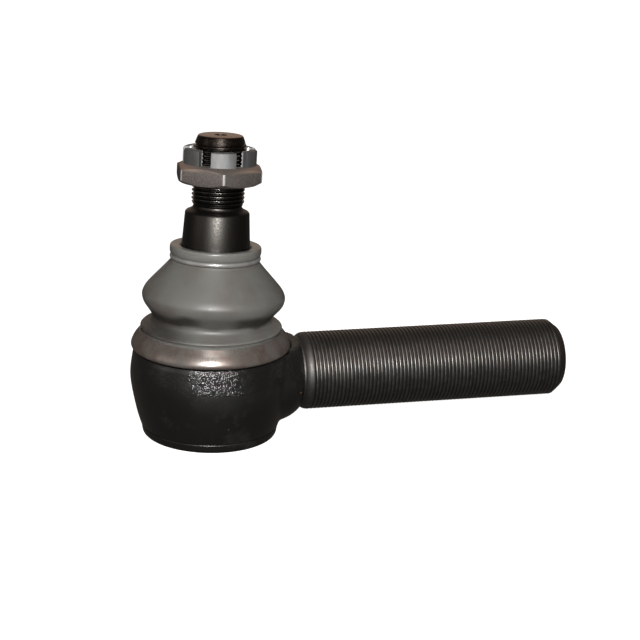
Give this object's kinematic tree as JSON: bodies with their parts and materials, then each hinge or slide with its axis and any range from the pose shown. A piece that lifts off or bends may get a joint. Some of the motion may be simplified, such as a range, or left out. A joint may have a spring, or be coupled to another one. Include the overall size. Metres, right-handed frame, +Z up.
{
  "type": "tie rod end",
  "caption": "Ball-joint tie rod end: forged eye with a threaded shank, tapered ball pin, castle nut and a ribbed dust boot.",
  "frame": {"origin": "centre of the closing cover's flat underside, in the plane of the eye's crimped rim, on the eye's axis", "axes": "+X along the threaded shank, away from the eye; +Z up the eye's axis, towards the ball pin"},
  "size_m": [0.1702, 0.0608, 0.1147],
  "materials": {
    "forged_steel": "black forged and oiled",
    "pressed_steel": "satin pressed sheet",
    "spring_steel": "dark hardened",
    "pin_steel": "dark oiled",
    "nut_steel": "grey phosphate with a bright turned crown",
    "ring_steel": "bright wire",
    "bearing_plastic": "natural",
    "boot_rubber": "satin grey",
    "seal_rubber": "matt"
  },
  "bodies": {
    "eye": {"housing": "forged_steel", "cover_plate": "pressed_steel", "cover_seal": "seal_rubber", "preload_spring": "spring_steel", "upper_bearing_shell": "bearing_plastic", "boot_base_ring": "pressed_steel"},
    "bearing_support": {"pressure_plate": "spring_steel"},
    "bearing": {"lower_bearing_cup": "bearing_plastic", "boot": "boot_rubber"},
    "boot_lip": {"boot_top_ring": "ring_steel"},
    "pin": {"ball_pin": "pin_steel"},
    "nut": {"castle_nut": "nut_steel"}
  },
  "joints": [
    {"name": "bearing_float", "type": "slide", "parent": "eye", "child": "bearing_support", "axis": [0, 0, 1], "range_m": [-0.0006, 0], "stiffness_N_per_m": 20000, "springref_m": 0.003, "deforming": ["preload_spring"]},
    {"name": "lean_direction", "type": "hinge", "parent": "bearing_support", "child": "bearing", "pos_m": [0, 0, 0.0256], "axis": [0, 0, 1], "continuous": true},
    {"name": "pin_lean", "type": "hinge", "parent": "bearing", "child": "boot_lip", "pos_m": [0, 0, 0.0256], "axis": [-0.7443, 0.6678, 0], "range_deg": [-28.4, 21.5], "deforming": ["boot"]},
    {"name": "pin_spin", "type": "hinge", "parent": "boot_lip", "child": "pin", "pos_m": [0, 0, 0.0256], "axis": [0.0403, 0.0449, 0.9982], "continuous": true},
    {"name": "nut_turn", "type": "hinge", "parent": "pin", "child": "nut", "pos_m": [0, 0, 0.0256], "axis": [0.0403, 0.0449, 0.9982], "continuous": true}
  ]
}
